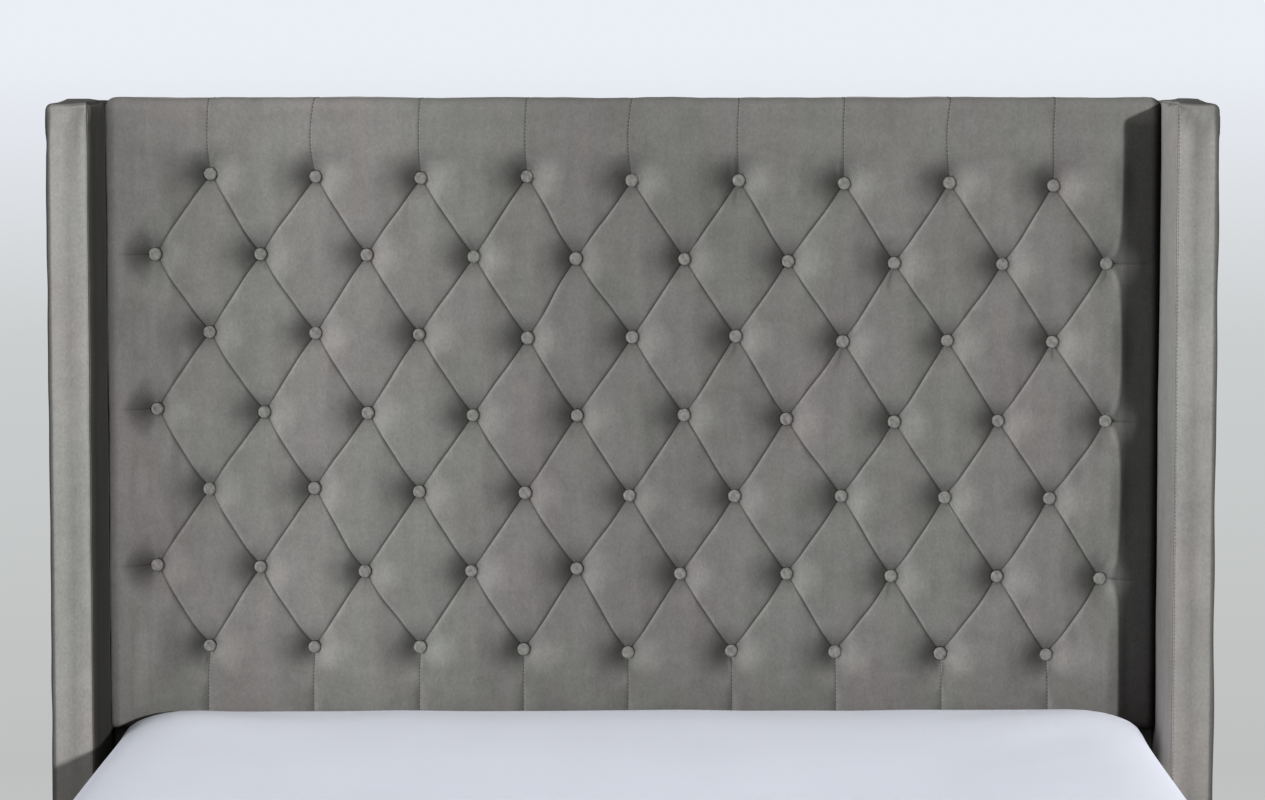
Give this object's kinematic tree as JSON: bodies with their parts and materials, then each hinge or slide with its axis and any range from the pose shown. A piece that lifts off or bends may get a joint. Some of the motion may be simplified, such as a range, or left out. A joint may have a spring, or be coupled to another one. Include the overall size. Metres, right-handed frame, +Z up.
{
  "type": "upholstered headboard bed",
  "caption": "Queen-size bed with a tall diamond-tufted velvet headboard between straight wings, padded rails and footboard, slatted base, and a mattress in a fitted sheet.",
  "frame": {"origin": "on the floor, at the centre of the bed's outline", "axes": "+Z up; +Y towards the headboard, whose front faces -Y; +X to the right of someone facing the headboard"},
  "size_m": [1.7, 2.2, 1.533],
  "materials": {
    "back_cloth": "matte",
    "black_steel": "satin",
    "button_velvet": "matte",
    "felt": "matte",
    "foam": "matte",
    "leg_wood": "satin",
    "nylon": "matte",
    "plywood": "matte",
    "sheet_cotton": "matte",
    "slat_wood": "satin",
    "ticking": "matte",
    "timber": "matte",
    "twine": "matte",
    "velvet": "matte",
    "webbing": "matte",
    "zinc_steel": "satin"
  },
  "bodies": {
    "bed_frame": {"back_cloth": "back_cloth", "beam_cradle_foot": "black_steel", "beam_cradle_head": "black_steel", "button_row_1": "button_velvet", "button_row_2": "button_velvet", "button_row_3": "button_velvet", "button_row_4": "button_velvet", "button_row_5": "button_velvet", "button_row_6": "button_velvet", "button_row_7": "button_velvet", "button_twine": "twine", "centre_beam": "timber", "centre_leg_1": "timber", "centre_leg_2": "timber", "centre_leg_3": "timber", "corner_bracket_left": "black_steel", "corner_bracket_right": "black_steel", "foot_leg_left": "leg_wood", "foot_leg_right": "leg_wood", "footboard_board": "timber", "footboard_cover": "velvet", "footboard_foam": "foam", "headboard_backing_board": "plywood", "headboard_glides": "nylon", "headboard_lower_rail": "timber", "headboard_middle_rail": "timber", "headboard_post_left": "timber", "headboard_post_right": "timber", "headboard_top_rail": "timber", "leg_bolts": "zinc_steel", "leg_pads": "felt", "lower_panel_cover": "velvet", "lower_panel_foam": "foam", "rail_bolts": "zinc_steel", "rail_plate_left": "black_steel", "rail_plate_right": "black_steel", "side_rail_left_board": "timber", "side_rail_left_cover": "velvet", "side_rail_left_foam": "foam", "side_rail_right_board": "timber", "side_rail_right_cover": "velvet", "side_rail_right_foam": "foam", "slat_ledger_left": "timber", "slat_ledger_right": "timber", "slat_straps": "webbing", "slats": "slat_wood", "tufted_cover": "velvet", "tufted_foam": "foam", "wing_bolts": "zinc_steel", "wing_left_core": "timber", "wing_left_cover": "velvet", "wing_left_foam": "foam", "wing_right_core": "timber", "wing_right_cover": "velvet", "wing_right_foam": "foam"},
    "mattress_set": {"mattress": "ticking", "fitted_sheet": "sheet_cotton"},
    "foot_1": {"levelling_foot_1": "zinc_steel"},
    "foot_2": {"levelling_foot_2": "zinc_steel"},
    "foot_3": {"levelling_foot_3": "zinc_steel"}
  },
  "joints": [
    {"name": "mattress_lift", "type": "slide", "parent": "bed_frame", "child": "mattress_set", "axis": [0, 0, 1], "range_m": [0, 0.4]},
    {"name": "levelling_foot_1_slide", "type": "slide", "parent": "bed_frame", "child": "foot_1", "axis": [0, 0, 1], "range_m": [0, 0.01]},
    {"name": "levelling_foot_2_slide", "type": "slide", "parent": "bed_frame", "child": "foot_2", "axis": [0, 0, 1], "range_m": [0, 0.01]},
    {"name": "levelling_foot_3_slide", "type": "slide", "parent": "bed_frame", "child": "foot_3", "axis": [0, 0, 1], "range_m": [0, 0.01]}
  ]
}
